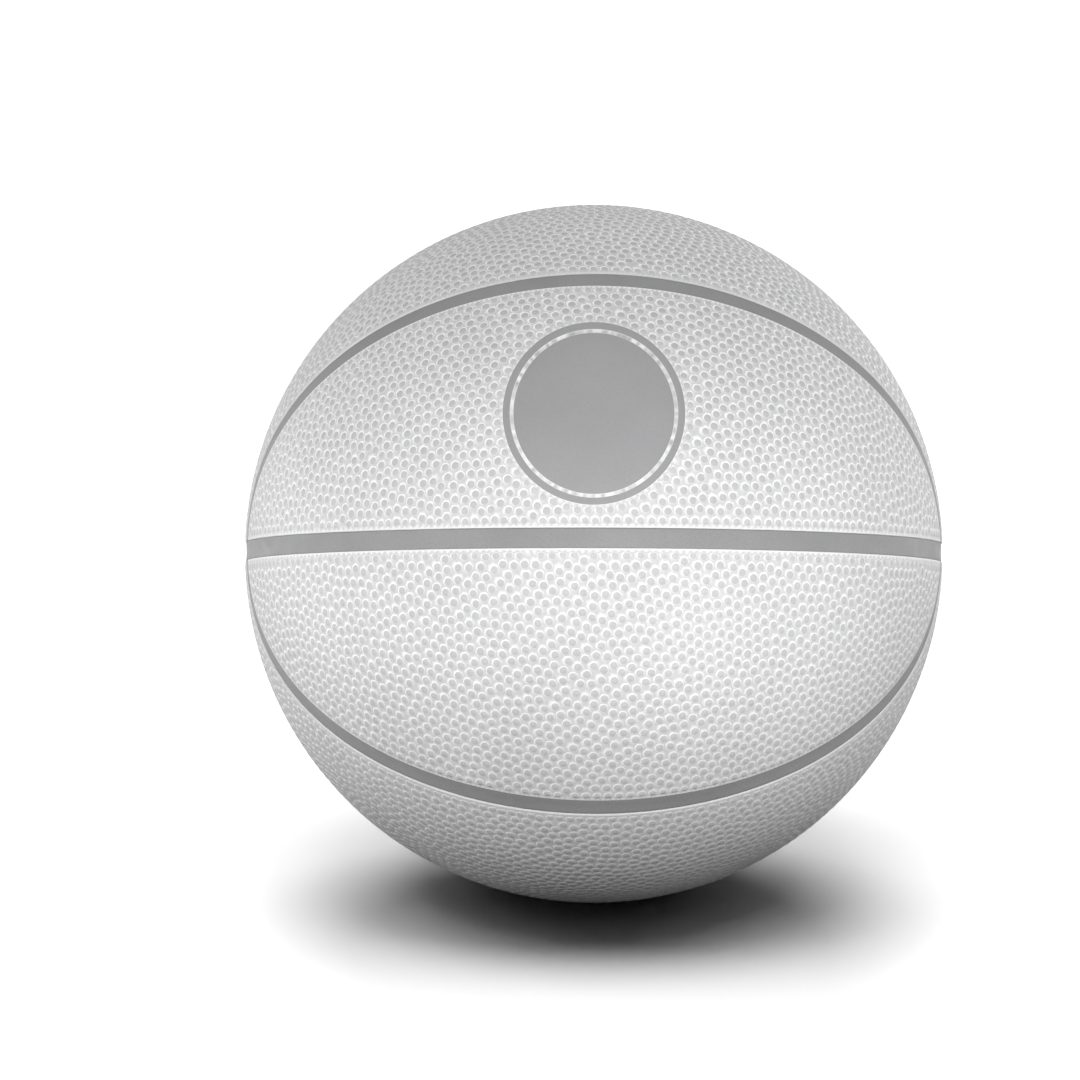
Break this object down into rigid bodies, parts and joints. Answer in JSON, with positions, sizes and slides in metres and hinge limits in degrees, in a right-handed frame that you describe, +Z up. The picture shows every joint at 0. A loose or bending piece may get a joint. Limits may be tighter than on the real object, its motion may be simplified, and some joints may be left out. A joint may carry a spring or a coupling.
{
  "type": "basketball",
  "caption": "Inflated basketball with pebbled pale grey cover panels, grey recessed seam strips, and a carcass, thread winding, bladder and needle valve inside.",
  "frame": {"origin": "middle of the flat patch that the ball rests on, on the floor straight below the ball's centre", "axes": "+Z up; -Y towards the viewer of the picture; +X to that viewer's right"},
  "size_m": [0.2414, 0.242, 0.2411],
  "materials": {
    "cover": "satin, pebbled",
    "seam": "matt",
    "carcass": "matt",
    "winding": "matt",
    "bladder": "satin",
    "valve_boot": "matt",
    "valve_core": "matt"
  },
  "bodies": {
    "root": {"panel_front_upper": "cover", "panel_front_lower": "cover", "panel_back_upper": "cover", "panel_back_lower": "cover", "panel_top_front": "cover", "panel_top_back": "cover", "panel_bottom_front": "cover", "panel_bottom_back": "cover", "seam_level": "seam", "seam_cross_upper": "seam", "seam_cross_lower": "seam", "seam_loop_front_upper": "seam", "seam_loop_front_lower": "seam", "seam_loop_back_upper": "seam", "seam_loop_back_lower": "seam", "carcass": "carcass", "thread_winding": "winding", "bladder": "bladder", "valve_boot": "valve_boot", "valve_core": "valve_core"}
  },
  "joints": []
}
